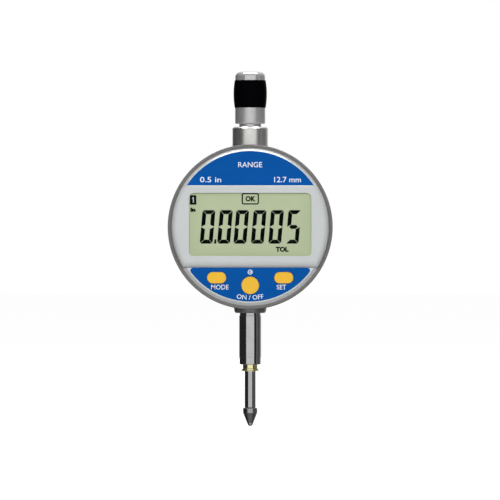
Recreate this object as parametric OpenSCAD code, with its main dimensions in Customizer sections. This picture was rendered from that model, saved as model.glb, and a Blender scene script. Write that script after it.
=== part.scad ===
// Digital dial indicator with a turning display, a sprung plunger and a lifting cap.
// Frame: Z runs up along the plunger, the display faces -Y, and the origin is at
// mid-length of the clamping stem.

/* [Case] */
// Outer diameter of the round case and of the display
body_d = 59.2; // [59.2:0.1:80]
// Distance from the plunger axis to the back of the case
rear_depth = 9; // [9:0.1:14]
// Distance from the plunger axis to the joint between the case and the display
case_front = 6.8; // [6.8:0.1:9]
// Thickness of the wall behind the display
web_t = 2; // [1.8:0.1:2.4]
// Thickness of the case rim
rim_wall = 3.6; // [3:0.1:6]
// Thickness of the back cover
cover_t = 1.8; // [1.2:0.1:2.4]
// Width of the ledge that the back cover rests on
cover_ledge = 1.6; // [1.2:0.1:2]
// Diameter of the back cover screws
cover_screw_d = 1.6; // [1.4:0.1:2]
// Distance from the body axis to the inner ends of the two bosses
boss_reach = 18; // [18:0.5:22]
// Width of the two bosses
boss_w = 17; // [15:0.5:19]

/* [Stem] */
// Clamping diameter of the stem
stem_d = 8; // [8:0.1:9.6]
// Length of the clamping diameter
stem_len = 15; // [12:0.5:20]
// Diameter of the relief above the clamping diameter
relief_d = 7.6; // [7:0.1:7.6]
// Length of the relief
relief_len = 0.94; // [0.5:0.02:1.5]
// Diameter of the pilot end of the stem
pilot_d = 7.84; // [7:0.02:7.9]
// Length of the pilot end
pilot_len = 2.7; // [2:0.1:4]
// Diameter of the collar between the case and the stem
collar_d = 12; // [11:0.1:12.6]
// How far the collar stands out of the case
collar_drop = 1.43; // [1:0.01:3]
// Diameter of the shanks that sit in the bosses
shank_d = 10; // [9:0.1:11]
// Outer diameter of the lower bush
bush_d = 5.4; // [5:0.1:6]
// How far the lower bush stands out of the stem
bush_show = 2.35; // [1:0.05:3]
// Length of the lower bush inside the stem
bush_grip = 9; // [6:0.5:12]
// Diameter of the lip on the lower bush
bush_lip_d = 6.9; // [6.2:0.1:7.4]

/* [Plunger] */
// Diameter of the spindle
spindle_d = 4; // [3.4:0.1:4.2]
// Length of the spindle that shows below the lower bush
spindle_show = 13.23; // [13.2:0.01:20]
// Travel of the plunger
travel = 12.7; // [10:0.1:12.7]
// Diameter of the contact thread
contact_thread_d = 2.5; // [2:0.1:2.6]
// Length of the contact thread
contact_thread_len = 5; // [4:0.5:8]
// Diameter of the band on the contact point
contact_d = 5.2; // [4.6:0.1:6.4]
// Height of the band on the contact point
contact_band_h = 2; // [1.5:0.1:3]
// Whole length of the contact point below the spindle
contact_len = 6.68; // [6:0.01:10]
// Diameter of the measuring ball
ball_d = 2; // [1.6:0.1:2.4]
// Height of the slider that is clamped to the spindle
slider_h = 8; // [7:0.5:10]
// Width of the slider
slider_w = 10; // [9:0.5:12]
// Thickness of the rubber washer that the slider rests on
washer_t = 1; // [0.6:0.1:1.5]
// Diameter of the pin that stops the spindle from turning
guide_pin_d = 2; // [1.6:0.1:2.4]
// Mean diameter of the return spring
spring_d = 5.5; // [5.4:0.1:5.8]
// Diameter of the spring wire
spring_wire = 0.4; // [0.3:0.05:0.5]
// Number of turns in the return spring
spring_turns = 11; // [8:1:14]

/* [Upper barrel and cap] */
// Diameter of the barrel above the case
barrel_d = 12.86; // [12:0.02:13.2]
// How far the barrel stands out of the case
barrel_show = 6.54; // [5:0.02:10]
// Outer diameter of the neck tube
neck_d = 7.9; // [7.6:0.1:8]
// Wall of the neck tube
neck_wall = 0.95; // [0.7:0.05:1.1]
// Length of the neck that shows below the cap
neck_show = 1.16; // [0.6:0.02:3]
// Length of the upper bush
upper_bush_len = 8; // [6:0.5:12]
// Diameter of the metal skirt and dome of the cap
cap_d = 10.9; // [10.6:0.1:13]
// Height of the bare part of the skirt
skirt_len = 5.78; // [5:0.02:8]
// Wall of the skirt tube inside the grip
skirt_wall = 0.6; // [0.5:0.05:0.8]
// Height of the grip
grip_len = 9.9; // [9.9:0.1:13]
// Largest diameter of the grip
grip_d = 12.03; // [11.6:0.01:14]
// Diameter of the grip at its two ends
grip_end_d = 11.2; // [11:0.1:13]
// Height of the dome
dome_h = 3.07; // [2.5:0.01:4]
// Radius of the dome's edge
dome_edge_r = 1.9; // [1:0.1:2.2]
// Thickness of the closed top of the skirt
cap_floor_t = 0.8; // [0.6:0.1:1.2]

/* [Display body] */
// Distance from the plunger axis to the front of the display frame
front_depth = 18; // [18:0.1:20]
// Height of the raised frame over the labels
block_rise = 2.5; // [1.5:0.1:2.5]
// Thickness of the frame plate under the labels
plate_t = 1.5; // [1.2:0.1:1.5]
// Thickness of the display floor
shell_floor_t = 1.4; // [1:0.1:1.5]
// Outer diameter of the hub that the display turns on
hub_d = 26; // [24:0.5:28]
// Wall of the hub
hub_wall = 2; // [1.8:0.1:3]
// Angle that the display turns to each side
turn_each_way = 135; // [90:1:140]
// Radius at which the stop pin runs
stop_r = 20; // [19:0.5:21]
// Diameter of the stop pin
stop_pin_d = 2; // [1.5:0.1:2.4]
// Cross section of the sealing ring
o_ring_wire = 1.2; // [1:0.1:1.4]
// Width of the dark front face of the bezel ring
ring_face_w = 1.3; // [1:0.05:1.5]
// Width of the frame's sloping rim inside the bezel ring
rim_slope_w = 1.05; // [0.8:0.05:1.5]
// Depth of the bezel ring behind the front of the frame plate
ring_drop = 0.85; // [0:0.05:0.9]
// How far the bezel ring's front face slopes inwards
ring_slope = 0.15; // [0.05:0.05:0.3]
// Radius of the round edge at the two ends of the raised frame
block_edge_r = 2.2; // [1.2:0.1:2.2]

/* [Window and labels] */
// Width of the window
window_w = 43.8; // [38:0.1:43.8]
// Height of the window
window_h = 22.56; // [18:0.02:22.6]
// Height of the window's centre over the body axis
window_z = 0.87; // [0:0.01:1]
// Corner radius at the top of the window
window_top_r = 2; // [1:0.1:3]
// Corner radius at the bottom of the window
window_low_r = 1.4; // [0.5:0.1:3]
// Depth of the lens below the front of the frame
lens_recess = 0.5; // [0.2:0.1:0.8]
// Thickness of the lens
lens_t = 1; // [0.8:0.1:1.2]
// Thickness of the glass display panel
lcd_t = 2; // [1.6:0.1:2]
// Height of the upper label's straight edge over the body axis
upper_label_z = 14.86; // [14.8:0.01:17]
// Depth of the lower label's straight edge below the body axis
lower_label_z = 14.7; // [14.4:0.01:15.2]
// Thickness of the labels
label_t = 0.2; // [0.1:0.05:0.3]
// Margin between the lower label and the bezel ring
lower_label_margin = 0.45; // [0.2:0.05:1]

/* [Buttons] */
// Width of the two side buttons
side_button_w = 6.7; // [5:0.1:7.4]
// Height of the two side buttons
side_button_h = 3.95; // [3:0.1:4.6]
// Corner radius of the two side buttons
side_button_r = 1.9; // [0.5:0.1:1.9]
// Distance from the centre line to each side button
side_button_x = 12.04; // [11:0.01:12.2]
// Depth of the side buttons below the body axis
side_button_z = 18.25; // [18:0.05:19]
// Diameter of the centre button
centre_button_d = 6.2; // [5:0.1:7]
// Depth of the centre button below the body axis
centre_button_z = 20.98; // [20.5:0.01:21.2]
// Height of the buttons over the label
button_rise = 0.75; // [0.6:0.05:1.5]
// Travel of the buttons
button_travel = 0.5; // [0.3:0.05:0.5]

/* [Battery and electronics] */
// Diameter of the coin cell
cell_d = 20; // [16:0.1:20]
// Thickness of the coin cell
cell_t = 3.2; // [2:0.1:3.2]
// Distance from the body axis to the centre of the coin cell
cell_x = 15.2; // [14.5:0.1:16]
// Thickness of the tray's lip under the cell
tray_lip_t = 0.6; // [0.4:0.1:0.7]
// Thickness of the circuit boards
board_t = 1; // [0.6:0.1:1]
// Height of the main board over the display floor
board_lift = 2.4; // [2:0.1:2.5]
// Height of the push switches
switch_h = 0.6; // [0.4:0.05:0.6]

/* [Fits] */
// Radial clearance of the sliding and turning fits
run_gap = 0.02; // [0.015:0.005:0.05]
// Radial clearance of the display hub
hub_gap = 0.05; // [0.03:0.01:0.08]
// Gap between the case and the display
turn_gap = 0.2; // [0.15:0.05:0.4]
// Clearance round pieces that are set into a recess
seat_gap = 0.05; // [0.03:0.01:0.1]
// Clearance round pieces that move without touching
free_gap = 0.2; // [0.15:0.01:0.3]

/* [Hidden] */
$fn = 96;
over = 1;

// Heights along the plunger, from the bottom up
body_r = body_d / 2;
stem_top = stem_len / 2;
stem_bottom = -stem_len / 2;
pilot_bottom = stem_bottom - pilot_len;
bush_bottom = pilot_bottom - bush_show;
contact_top = bush_bottom - spindle_show;
tip_bottom = contact_top - contact_len;
ball_z = tip_bottom + ball_d / 2;
collar_bottom = stem_top + relief_len;
body_z = collar_bottom + collar_drop + body_r;
shoulder_r = body_r - 2.6;
barrel_top = body_z + body_r + barrel_show;
neck_seat = barrel_top - 5;
skirt_bottom = barrel_top + neck_show;
grip_bottom = skirt_bottom + skirt_len;
grip_top = grip_bottom + grip_len;
cap_ceiling = grip_top - cap_floor_t;
neck_top = cap_ceiling - 0.7;
slider_bottom = body_z - boss_reach + washer_t;
slider_top = slider_bottom + slider_h;
guide_pin_z = slider_bottom + slider_h / 2;
shank_bore_r = spindle_d / 2 + 0.4;
cap_bore_r = neck_d / 2 + free_gap;
cap_tube_r = cap_bore_r + skirt_wall;
stub_r = 1.5;
stub_rise = 1.5;
slider_screw_d = 1.8;
guide_pin_from = 2.5;

// Radii and depths of the case; depths are distances in front of the plunger axis
inner_r = body_r - rim_wall;
cover_r = inner_r + cover_ledge;
web_back = case_front - web_t;
cover_seat = rear_depth - cover_t;
boss_back = cover_seat - 0.2;
cover_screw_angles = [45:90:315];
cover_post_at = inner_r - 2;
cover_post_r = cover_screw_d / 2 + 1.4;
screw_head_h = 0.8;
screw_head_lip = 0.7;
sensor_board_back = cover_seat - 0.4;
sensor_board_front = sensor_board_back - board_t;
sensor_board_w = 39;
sensor_board_h = 24;
sensor_post_x = 17.5;
sensor_post_r = 2;
sensor_screw_d = 1.4;
scale_t = 1;
scale_back = sensor_board_front - 0.5;
slider_front = 3;
hub_r = hub_d / 2;
hub_end = 3.6;
hub_groove = 0.6;
hub_lip = 0.4;
stop_reach = 1.2;
o_ring_at = inner_r - 0.5;
rail_t = 2.4;
rail_w = 5;
rail_screw_z = boss_reach + 2;
rail_screw_d = 1.6;
rail_screw_len = 2.2;
case_chamfer = 0.3;

// Depths of the display
shell_back = case_front + turn_gap;
floor_front = shell_back + shell_floor_t;
label_plane = front_depth - block_rise;
plate_back = label_plane - plate_t;
ring_front = label_plane - ring_drop;
ring_back = plate_back;
spigot_top = plate_back + 0.3;
lens_front = front_depth - lens_recess;
lens_back = lens_front - lens_t;
lcd_front = lens_back - 0.1;
lcd_back = lcd_front - lcd_t;
reflector_t = 0.3;
board_back = floor_front + board_lift;
board_front = board_back + board_t;
tray_back = floor_front + 1.2;
tray_front = plate_back - 0.2;
spigot_r = body_r - ring_face_w;
rim_r = spigot_r - seat_gap;
face_r = rim_r - rim_slope_w + seat_gap;
label_r = face_r - seat_gap;
shell_r = face_r - 1.05;
face_post_r = 1.9;
lcd_w = window_w + 1.4;
lcd_h = window_h + 2.6;
face_screw_d = 1.6;
face_screws_at = [[14.8, 19], [-14.8, 19], [19.7, -14], [-19.7, -14]];
tray_w = cell_d + 1.2;
tray_inner_x = cell_x - cell_d / 2 - 1.2;
button_front = label_plane + label_t + button_rise;
button_flange_front = plate_back - 0.1;
button_flange_back = button_flange_front - 0.8;
button_flange_w = 0.8;
button_gap = 0.12;

// Turns a profile about the body axis: x is the radius and y the depth in front of the plunger
module turned_on_body(from = 0, sweep = 360) {
  translate([0, 0, body_z]) rotate([90, 0, 0]) rotate([0, 0, from])
    rotate_extrude(angle = sweep) children();
}

// Extrudes an outline, drawn as seen from the front, between two depths
module plate(back, front) {
  translate([0, -back, body_z]) rotate([90, 0, 0]) linear_extrude(height = front - back) children();
}

// A round bar along Y at (x, z) from the body axis
module pin_y(x, z, back, front, r) {
  plate(back, front) translate([x, z]) circle(r = r);
}

// A rectangle centred on the origin
module centred(w, h) {
  translate([-w / 2, -h / 2]) square([w, h]);
}

// A rectangle with round corners, centred on the origin
module rounded(w, h, r) {
  centred(w, h - 2 * r);
  centred(w - 2 * r, h);
  for (x = [-1, 1], y = [-1, 1])
    translate([x * (w / 2 - r), y * (h / 2 - r)]) circle(r = r);
}

// The window's outline, shrunk by a gap
module window_outline(gap = 0) {
  w = window_w - 2 * gap;
  h = window_h - 2 * gap;
  top_r = window_top_r - gap;
  low_r = window_low_r - gap;
  translate([0, window_z]) {
    centred(w - 2 * max(top_r, low_r), h);
    translate([-w / 2, -h / 2 + low_r]) square([w, h - top_r - low_r]);
    translate([-w / 2 + low_r, -h / 2]) square([w - 2 * low_r, h / 2]);
    translate([-w / 2 + top_r, 0]) square([w - 2 * top_r, h / 2]);
    for (side = [-1, 1]) {
      translate([side * (w / 2 - top_r), h / 2 - top_r]) circle(r = top_r);
      translate([side * (w / 2 - low_r), -h / 2 + low_r]) circle(r = low_r);
    }
  }
}

// A countersunk screw whose head faces the back
module countersunk_screw(x, z, head_back, d, length) {
  translate([x, -head_back, body_z + z]) rotate([90, 0, 0]) difference() {
    union() {
      cylinder(h = screw_head_h, r1 = d / 2 + screw_head_lip, r2 = d / 2);
      cylinder(h = length, d = d);
    }
    for (turn = [0, 90])
      rotate([0, 0, turn]) translate([-0.8, -0.15, -over]) cube([1.6, 0.3, over + 0.45]);
  }
}

// The hole for a countersunk screw
module countersunk_hole(x, z, head_back, d, length) {
  translate([x, -head_back, body_z + z]) rotate([90, 0, 0]) {
    cylinder(h = screw_head_h, r1 = d / 2 + screw_head_lip, r2 = d / 2);
    cylinder(h = length, d = d);
  }
}

// ---- Case ----

// Half of the case's inside that holds a shank: a block with a stepped bore
module boss(side) {
  reach = inner_r + 0.5 - boss_reach;
  translate([-boss_w / 2, -web_back - 0.1, body_z + (side > 0 ? boss_reach : -boss_reach - reach)])
    cube([boss_w, web_back + 0.1 + boss_back, reach]);
}

module boss_bore(side, seat_d) {
  translate([0, 0, body_z]) mirror([0, 0, side > 0 ? 0 : 1]) {
    cylinder(h = body_r + over, d = shank_d);
    translate([0, 0, shoulder_r]) cylinder(h = body_r, d = seat_d);
  }
}

module rear_housing() {
  color([0.52, 0.53, 0.54]) difference() {
    union() {
      turned_on_body() polygon([
        [hub_r + hub_gap, case_front], [body_r - case_chamfer, case_front],
        [body_r, case_front - case_chamfer],
        [body_r, -rear_depth + 0.8], [body_r - 0.8, -rear_depth],
        [cover_r + seat_gap, -rear_depth], [cover_r + seat_gap, -cover_seat],
        [inner_r, -cover_seat], [inner_r, web_back], [hub_r + hub_gap, web_back]
      ]);
      boss(1);
      boss(-1);
      for (angle = cover_screw_angles)
        pin_y(cover_post_at * cos(angle), cover_post_at * sin(angle), -cover_seat, web_back + 0.1,
          cover_post_r);
      for (side = [-1, 1])
        pin_y(side * sensor_post_x, 0, -sensor_board_front, web_back + 0.1, sensor_post_r);
    }
    boss_bore(1, barrel_d);
    boss_bore(-1, collar_d);
    for (angle = cover_screw_angles)
      pin_y(cover_post_at * cos(angle), cover_post_at * sin(angle), -rear_depth, -cover_seat + 6,
        cover_screw_d / 2);
    for (side = [-1, 1])
      pin_y(side * sensor_post_x, 0, -rear_depth, -sensor_board_front + 4, sensor_screw_d / 2);
    rail_screw_holes();
    o_ring_groove();
    stop_groove();
  }
}

module o_ring_groove() {
  turned_on_body() translate([o_ring_at - o_ring_wire / 2 - 0.1, case_front - o_ring_wire + 0.1])
    square([o_ring_wire + 0.2, o_ring_wire]);
}

// The arc in the web that the stop pin runs in
module stop_groove() {
  half = stop_pin_d / 2 + free_gap;
  sweep = 2 * (turn_each_way + asin(half / stop_r));
  turned_on_body(-90 - sweep / 2, sweep)
    translate([stop_r - half, case_front - stop_reach - 0.1]) square([2 * half, stop_reach + over]);
}

module rail_screw_holes() {
  for (side = [-1, 1])
    translate([boss_w / 2 - rail_screw_len - 0.1, 0, body_z + side * rail_screw_z])
      rotate([0, 90, 0]) cylinder(h = rail_screw_len + 0.1 + over, d = rail_screw_d);
}

module back_cover() {
  color([0.6, 0.61, 0.62]) difference() {
    turned_on_body() polygon([
      [0, -cover_seat], [cover_r, -cover_seat], [cover_r, -rear_depth + case_chamfer],
      [cover_r - case_chamfer, -rear_depth], [0, -rear_depth]
    ]);
    for (angle = cover_screw_angles)
      countersunk_hole(cover_post_at * cos(angle), cover_post_at * sin(angle), -rear_depth,
        cover_screw_d, cover_t + over);
  }
}

module cover_screws() {
  color("silver") for (angle = cover_screw_angles)
    countersunk_screw(cover_post_at * cos(angle), cover_post_at * sin(angle), -rear_depth,
      cover_screw_d, cover_t + 5);
}

module stem() {
  collar_r = collar_d / 2;
  color([0.45, 0.45, 0.46]) rotate_extrude() polygon([
    [shank_bore_r, body_z - boss_reach], [shank_d / 2, body_z - boss_reach],
    [shank_d / 2, body_z - shoulder_r], [collar_r, body_z - shoulder_r],
    [collar_r, collar_bottom + 2.3], [collar_r - 0.28, collar_bottom + 0.8],
    [collar_r - 0.42, collar_bottom + 0.3], [collar_r - 0.75, collar_bottom],
    [relief_d / 2, collar_bottom], [relief_d / 2, stem_top],
    [stem_d / 2 - 0.1, stem_top], [stem_d / 2, stem_top - 0.1],
    [stem_d / 2, stem_bottom + 0.05], [pilot_d / 2, stem_bottom],
    [pilot_d / 2, pilot_bottom + 0.2], [pilot_d / 2 - 0.2, pilot_bottom],
    [bush_d / 2, pilot_bottom], [bush_d / 2, pilot_bottom + bush_grip],
    [shank_bore_r, pilot_bottom + bush_grip]
  ]);
}

module lower_bush() {
  bore_r = spindle_d / 2 + run_gap;
  color([0.85, 0.76, 0.42]) rotate_extrude() polygon([
    [bore_r, bush_bottom], [bush_lip_d / 2, bush_bottom], [bush_lip_d / 2, bush_bottom + 0.15],
    [bush_d / 2 + 0.35, bush_bottom + 0.35], [bush_d / 2 + 0.3, bush_bottom + 0.75],
    [bush_d / 2, bush_bottom + 0.95], [bush_d / 2, pilot_bottom + bush_grip],
    [bore_r, pilot_bottom + bush_grip]
  ]);
}

module upper_barrel() {
  barrel_r = barrel_d / 2;
  edge = 0.5;
  color([0.62, 0.62, 0.63]) rotate_extrude() polygon([
    [shank_bore_r, body_z + boss_reach], [shank_d / 2, body_z + boss_reach],
    [shank_d / 2, body_z + shoulder_r], [barrel_r, body_z + shoulder_r],
    [barrel_r, barrel_top - edge], [barrel_r - edge, barrel_top], [neck_d / 2, barrel_top],
    [neck_d / 2, neck_seat], [shank_bore_r, neck_seat]
  ]);
}

module neck_tube() {
  inside = neck_d / 2 - neck_wall;
  edge = 0.3;
  color([0.7, 0.7, 0.71]) rotate_extrude() polygon([
    [inside, neck_seat], [neck_d / 2, neck_seat], [neck_d / 2, neck_top - edge],
    [neck_d / 2 - edge, neck_top], [inside, neck_top]
  ]);
}

module upper_bush() {
  bore_r = spindle_d / 2 + run_gap;
  color([0.85, 0.76, 0.42]) rotate_extrude() translate([bore_r, neck_top - upper_bush_len])
    square([neck_d / 2 - neck_wall - bore_r, upper_bush_len]);
}

module damper_washer() {
  color([0.12, 0.12, 0.12]) rotate_extrude() translate([shank_bore_r, body_z - boss_reach])
    square([1.6, washer_t]);
}

// A slotted bar beside the spindle, screwed to the sides of the bosses
module guide_rail() {
  half_slot = guide_pin_d / 2 + run_gap;
  past_boss = 4;
  color([0.55, 0.56, 0.58]) difference() {
    translate([boss_w / 2, -rail_w / 2, body_z - boss_reach - past_boss])
      cube([rail_t, rail_w, 2 * (boss_reach + past_boss)]);
    translate([boss_w / 2 - over, -half_slot, guide_pin_z - half_slot - free_gap])
      cube([rail_t + 2 * over, 2 * half_slot, travel + 2 * half_slot + 2 * free_gap]);
    for (side = [-1, 1])
      translate([boss_w / 2 - over, 0, body_z + side * rail_screw_z]) rotate([0, 90, 0])
        cylinder(h = rail_t + 2 * over, d = rail_screw_d + 0.2);
  }
}

module guide_rail_screws() {
  color("silver") for (side = [-1, 1])
    translate([boss_w / 2 - rail_screw_len, 0, body_z + side * rail_screw_z]) rotate([0, 90, 0]) {
      cylinder(h = rail_screw_len + rail_t, d = rail_screw_d);
      translate([0, 0, rail_screw_len + rail_t]) difference() {
        cylinder(h = 1, d = 2.8);
        translate([-0.2, -2, 0.5]) cube([0.4, 4, over]);
      }
    }
}

module sensor_board() {
  color([0.05, 0.35, 0.2]) plate(-sensor_board_back, -sensor_board_front) difference() {
    centred(sensor_board_w, sensor_board_h);
    for (side = [-1, 1])
      translate([side * sensor_post_x, 0]) circle(d = sensor_screw_d + 0.2);
  }
}

// Flat packages on a board: each row is x, height from the body axis, width, height and thickness
module chips(on, rows) {
  for (c = rows) plate(on, on + c[4]) translate([c[0], c[1]]) centred(c[2], c[3]);
}

// Packages on the front of the sensor board, clear of the slider
module sensor_chips() {
  color([0.1, 0.1, 0.1]) chips(-sensor_board_front, [
    [-13, 6, 5, 5, 1.1], [13.5, 6, 4, 5, 1.1], [13.5, -7, 5, 4, 1.1], [-8, 0, 2, 7, 1]
  ]);
}

module sensor_board_screws() {
  color("silver") for (side = [-1, 1]) {
    pin_y(side * sensor_post_x, 0, -sensor_board_back, -sensor_board_front + 3.5, sensor_screw_d / 2);
    pin_y(side * sensor_post_x, 0, -sensor_board_back - 0.3, -sensor_board_back, 1.3);
  }
}

module o_ring() {
  color([0.1, 0.1, 0.1]) turned_on_body()
    translate([o_ring_at, case_front - o_ring_wire / 2 + 0.1]) circle(d = o_ring_wire, $fn = 24);
}

// A tube of rings along a helix, each ring upright and facing round the axis
module return_spring() {
  sides = 6;
  steps = 12 * spring_turns;
  wire_r = spring_wire / 2;
  low = slider_top + wire_r + 0.02;
  rise = body_z + boss_reach - wire_r - 0.02 - low;
  rings = [for (i = [0:steps], s = [0:sides - 1])
    let (turn = 30 * i, lean = 360 * s / sides, r = spring_d / 2 + wire_r * cos(lean))
      [r * cos(turn), r * sin(turn), low + rise * i / steps + wire_r * sin(lean)]];
  walls = [for (i = [0:steps - 1], s = [0:sides - 1])
    let (a = i * sides + s, b = i * sides + (s + 1) % sides)
      [a, a + sides, b + sides, b]];
  ends = [[for (s = [0:sides - 1]) s], [for (s = [sides - 1:-1:0]) steps * sides + s]];
  color([0.75, 0.75, 0.78]) polyhedron(points = rings, faces = concat(walls, ends));
}

// ---- Plunger ----

module spindle() {
  r = spindle_d / 2;
  edge = 0.15;
  thread_end = contact_top + contact_thread_len + 0.3;
  color([0.66, 0.66, 0.67]) rotate_extrude() polygon([
    [0, thread_end], [contact_thread_d / 2, thread_end], [contact_thread_d / 2, contact_top],
    [r - edge, contact_top], [r, contact_top + edge], [r, cap_ceiling], [stub_r, cap_ceiling],
    [stub_r, grip_top + stub_rise], [0, grip_top + stub_rise]
  ]);
}

module slider() {
  color([0.5, 0.51, 0.53]) difference() {
    translate([-slider_w / 2, -slider_front, slider_bottom])
      cube([slider_w, slider_front + scale_back - scale_t, slider_h]);
    translate([0, 0, slider_bottom - over]) cylinder(h = slider_h + 2 * over, d = spindle_d);
    translate([guide_pin_from, 0, guide_pin_z]) rotate([0, 90, 0])
      cylinder(h = slider_w, d = guide_pin_d);
    translate([-slider_w, 0, guide_pin_z]) rotate([0, 90, 0])
      cylinder(h = slider_w, d = slider_screw_d);
  }
}

module slider_screw() {
  color("silver") translate([-slider_w / 2, 0, guide_pin_z]) rotate([0, 90, 0]) difference() {
    cylinder(h = slider_w / 2 - spindle_d / 2 - seat_gap, d = slider_screw_d);
    translate([0, 0, -over]) cylinder(h = over + slider_screw_d / 2, d = slider_screw_d / 2, $fn = 6);
  }
}

module guide_pin() {
  color([0.7, 0.7, 0.72]) translate([guide_pin_from, 0, guide_pin_z]) rotate([0, 90, 0])
    cylinder(h = boss_w / 2 + rail_t - 0.3 - guide_pin_from, d = guide_pin_d);
}

// The graduated strip that the sensor board reads
module scale_plate() {
  color([0.75, 0.78, 0.8]) translate([-4, scale_back - scale_t, slider_bottom])
    cube([8, scale_t, 2 * boss_reach - washer_t - travel - 0.5]);
}

// Threaded shank, band and cone; the cone's end is a cup for the ball
module contact_point() {
  band_r = contact_d / 2;
  band_bottom = contact_top - contact_band_h;
  color([0.4, 0.4, 0.41]) difference() {
    rotate_extrude() polygon([
      [0, contact_top + contact_thread_len], [contact_thread_d / 2, contact_top + contact_thread_len],
      [contact_thread_d / 2, contact_top], [band_r - 0.4, contact_top],
      [band_r - 0.12, contact_top - 0.12], [band_r, contact_top - 0.4],
      [band_r, band_bottom + 0.15], [band_r - 0.08, band_bottom],
      [ball_d / 2 + 0.08, ball_z], [0, ball_z]
    ]);
    translate([0, 0, ball_z]) sphere(d = ball_d);
  }
}

module contact_ball() {
  color([0.6, 0.6, 0.61]) translate([0, 0, ball_z]) sphere(d = ball_d);
}

// The metal tube of the cap: bare at the bottom, under the grip above
module cap_skirt() {
  edge = 0.25;
  color([0.7, 0.7, 0.71]) rotate_extrude() polygon([
    [cap_bore_r, skirt_bottom], [cap_d / 2 - edge, skirt_bottom], [cap_d / 2, skirt_bottom + edge],
    [cap_d / 2, grip_bottom], [cap_tube_r, grip_bottom], [cap_tube_r, grip_top],
    [stub_r, grip_top], [stub_r, cap_ceiling], [cap_bore_r, cap_ceiling]
  ]);
}

// The barrel-shaped grip, whose bulge is an arc through its ends and its middle
module grip_sleeve() {
  bulge = (grip_d - grip_end_d) / 2;
  arc_r = (pow(grip_len / 2, 2) + pow(bulge, 2)) / (2 * bulge);
  color([0.03, 0.03, 0.04]) rotate_extrude() intersection() {
    translate([grip_d / 2 - arc_r, grip_bottom + grip_len / 2]) circle(r = arc_r, $fn = 360);
    translate([cap_tube_r, grip_bottom]) square([grip_d, grip_len]);
  }
}

module cap_dome() {
  r = cap_d / 2;
  color([0.72, 0.72, 0.73]) rotate_extrude() difference() {
    union() {
      translate([0, grip_top]) square([r, dome_h - dome_edge_r]);
      translate([0, grip_top]) square([r - dome_edge_r, dome_h]);
      translate([r - dome_edge_r, grip_top + dome_h - dome_edge_r]) intersection() {
        circle(r = dome_edge_r);
        square(dome_edge_r);
      }
    }
    translate([-over, grip_top - over]) square([over + stub_r, over + stub_rise + 0.1]);
  }
}

// ---- Display ----

module display_shell() {
  color([0.5, 0.51, 0.52]) difference() {
    union() {
      turned_on_body() polygon([
        [hub_r - hub_wall, hub_end], [hub_r, hub_end], [hub_r, hub_end + hub_lip],
        [hub_r - hub_groove, hub_end + hub_lip], [hub_r - hub_groove, web_back - 0.1],
        [hub_r, web_back - 0.1], [hub_r, shell_back], [body_r - case_chamfer, shell_back],
        [body_r, shell_back + case_chamfer],
        [body_r, ring_back], [spigot_r, ring_back], [spigot_r, spigot_top],
        [face_r + seat_gap, spigot_top], [face_r + seat_gap, plate_back],
        [shell_r, plate_back], [shell_r, floor_front], [hub_r - hub_wall, floor_front]
      ]);
      for (p = face_screws_at) pin_y(p[0], p[1], floor_front - 0.1, board_back, face_post_r);
    }
    for (p = face_screws_at) {
      pin_y(p[0], p[1], shell_back - over, board_back + over, face_screw_d / 2 + 0.1);
      pin_y(p[0], p[1], shell_back - over, shell_back + 0.9, 1.6);
    }
    pin_y(0, -stop_r, shell_back - over, floor_front + over, stop_pin_d / 2);
    tray_opening();
  }
}

// The opening in the wall that the battery tray slides through
module tray_opening() {
  plate(tray_back - free_gap / 2, plate_back) translate([tray_inner_x, -tray_w / 2 - 0.15])
    square([body_r, tray_w + 0.3]);
}

// An open ring in the hub's groove that holds the display to the case
module retaining_ring() {
  color([0.6, 0.6, 0.62]) turned_on_body(10, 340)
    translate([hub_r - hub_groove, hub_end + hub_lip])
      square([2, web_back - 0.1 - hub_end - hub_lip]);
}

module stop_pin() {
  color([0.65, 0.65, 0.67]) pin_y(0, -stop_r, case_front - stop_reach, floor_front, stop_pin_d / 2);
}

// Its front face slopes inwards, and its outer edge is round
module bezel_ring() {
  edge_r = 0.35;
  color([0.33, 0.34, 0.35]) turned_on_body() {
    polygon([
      [spigot_r, ring_back], [body_r, ring_back], [body_r, ring_front - edge_r],
      [body_r - edge_r, ring_front - edge_r], [body_r - edge_r, ring_front],
      [spigot_r, ring_front - ring_slope]
    ]);
    translate([body_r - edge_r, ring_front - edge_r]) intersection() {
      circle(r = edge_r);
      square(edge_r);
    }
  }
}

// The raised part of the frame seen from its end: x is the height and y the depth
module block_profile() {
  low_r = block_rise;
  top_r = 0.4;
  base = spigot_top + 0.1;
  translate([-lower_label_z, base])
    square([lower_label_z + upper_label_z, label_plane - base]);
  translate([-lower_label_z + low_r, base])
    square([lower_label_z - low_r + upper_label_z - top_r, front_depth - base]);
  translate([0, base]) square([upper_label_z, front_depth - base - top_r]);
  translate([-lower_label_z + low_r, label_plane]) intersection() {
    circle(r = low_r);
    translate([-low_r, 0]) square(low_r);
  }
  translate([upper_label_z - top_r, front_depth - top_r]) intersection() {
    circle(r = top_r);
    square(top_r);
  }
}

// The block follows the rim, with a round edge
module raised_block() {
  base = spigot_top + 0.1;
  edge_r = block_edge_r;
  intersection() {
    translate([-body_r, 0, body_z]) rotate([180, -90, 0]) linear_extrude(height = body_d)
      block_profile();
    turned_on_body() {
      translate([0, base]) square([rim_r - edge_r, front_depth - base]);
      translate([0, base]) square([rim_r, front_depth - base - edge_r]);
      translate([rim_r - edge_r, front_depth - edge_r]) intersection() {
        circle(r = edge_r);
        square(edge_r);
      }
    }
  }
}

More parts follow.
